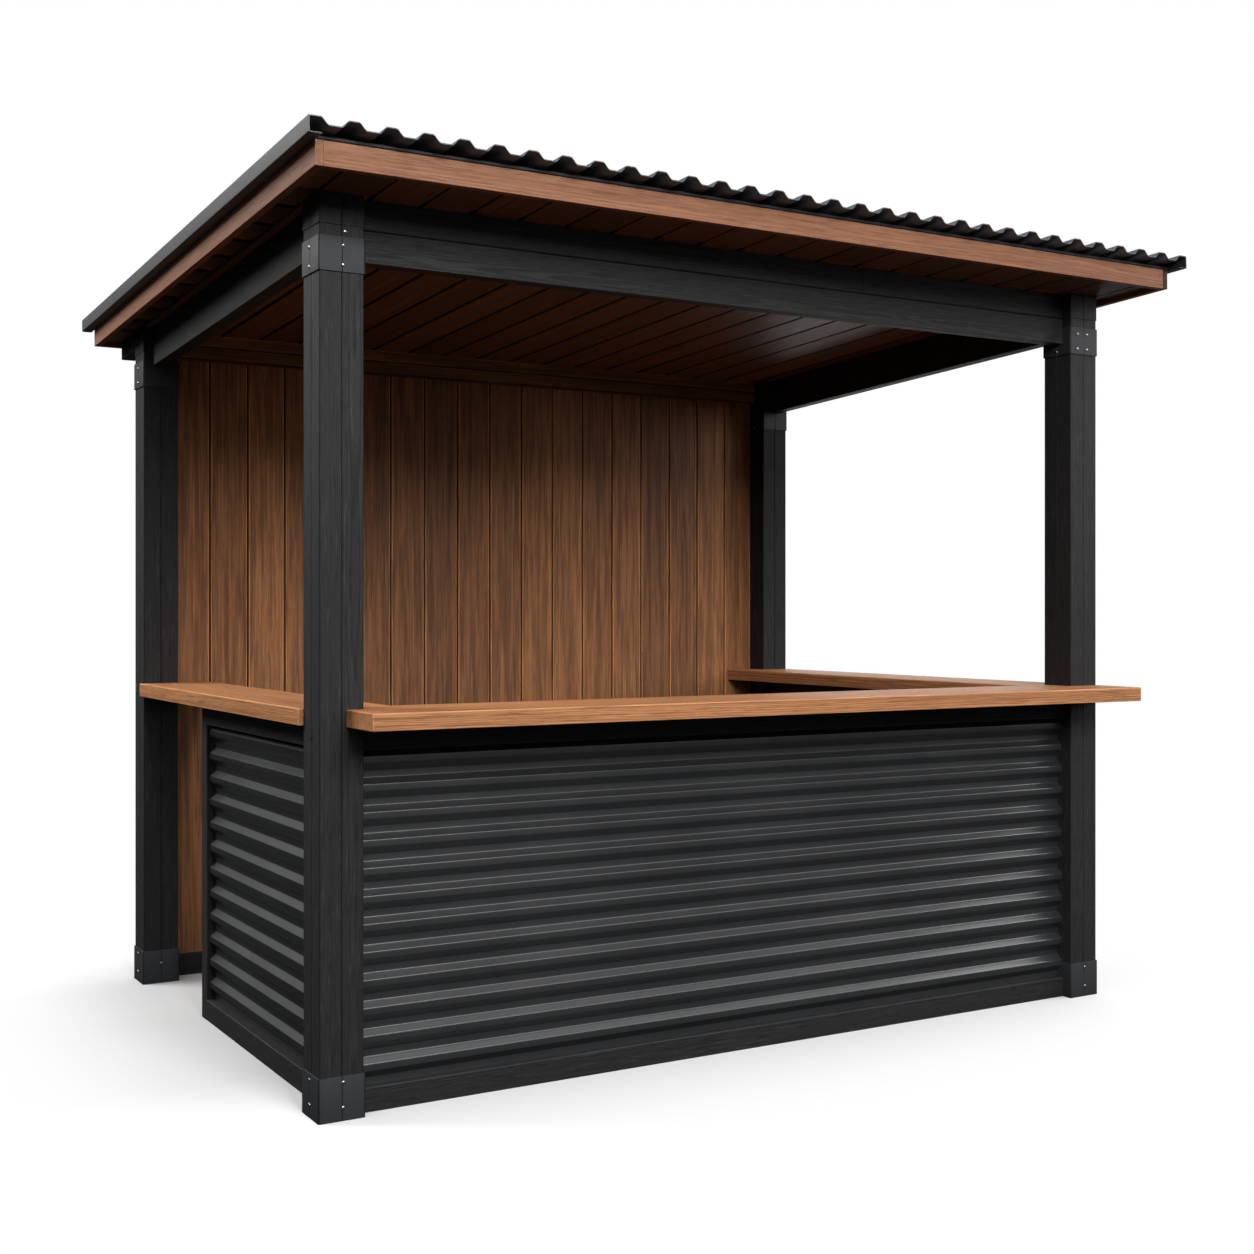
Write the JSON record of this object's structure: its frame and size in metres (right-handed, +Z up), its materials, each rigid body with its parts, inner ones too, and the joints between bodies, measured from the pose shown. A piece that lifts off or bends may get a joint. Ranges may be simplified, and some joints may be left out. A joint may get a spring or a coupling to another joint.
{
  "type": "garden bar",
  "caption": "Open timber garden bar with a boarded back wall, counters on three sides over ribbed metal panels, and a low corrugated roof falling to the back.",
  "frame": {"origin": "on the ground in the middle of the footprint", "axes": "+X along the front counter to the right, +Y from the front to the back wall, +Z up"},
  "size_m": [3.014, 2.44, 2.4715],
  "materials": {
    "black_timber": "black stained, open grain",
    "dark_steel": "satin powder coat",
    "counter_timber": "oiled",
    "wall_timber": "stained boards",
    "ceiling_timber": "stained boards",
    "fascia_timber": "oiled",
    "roof_metal": "matt coated sheet",
    "trim_metal": "matt coated sheet",
    "panel_metal": "satin coated sheet"
  },
  "bodies": {
    "root": {"post_front_left": "black_timber", "post_front_right": "black_timber", "post_back_left": "black_timber", "post_back_right": "black_timber", "post_heads": "black_timber", "front_beam_lower": "black_timber", "front_beam_upper": "black_timber", "left_beam_lower": "black_timber", "left_beam_upper": "black_timber", "right_beam_lower": "black_timber", "right_beam_upper": "black_timber", "rafter_tails": "black_timber", "back_bottom_rail": "black_timber", "front_bottom_rail": "black_timber", "left_bottom_rail": "black_timber", "right_bottom_rail": "black_timber", "front_top_rail": "black_timber", "left_top_rail": "black_timber", "right_top_rail": "black_timber", "left_end_stud": "black_timber", "base_sleeves": "dark_steel", "top_sleeves": "dark_steel", "counter_front": "counter_timber", "counter_left": "counter_timber", "counter_right": "counter_timber", "back_wall": "wall_timber", "back_header_lower": "wall_timber", "back_header_upper": "wall_timber", "ceiling": "ceiling_timber", "soffit_front": "ceiling_timber", "soffit_left": "ceiling_timber", "soffit_right": "ceiling_timber", "soffit_back": "ceiling_timber", "roof_battens": "ceiling_timber", "fascia_front": "fascia_timber", "fascia_back": "fascia_timber", "barge_left": "fascia_timber", "barge_right": "fascia_timber", "roof_sheet": "roof_metal", "eaves_strips": "roof_metal", "verge_left": "trim_metal", "verge_right": "trim_metal", "front_panel": "panel_metal", "left_panel": "panel_metal", "right_panel": "panel_metal"}
  },
  "joints": []
}
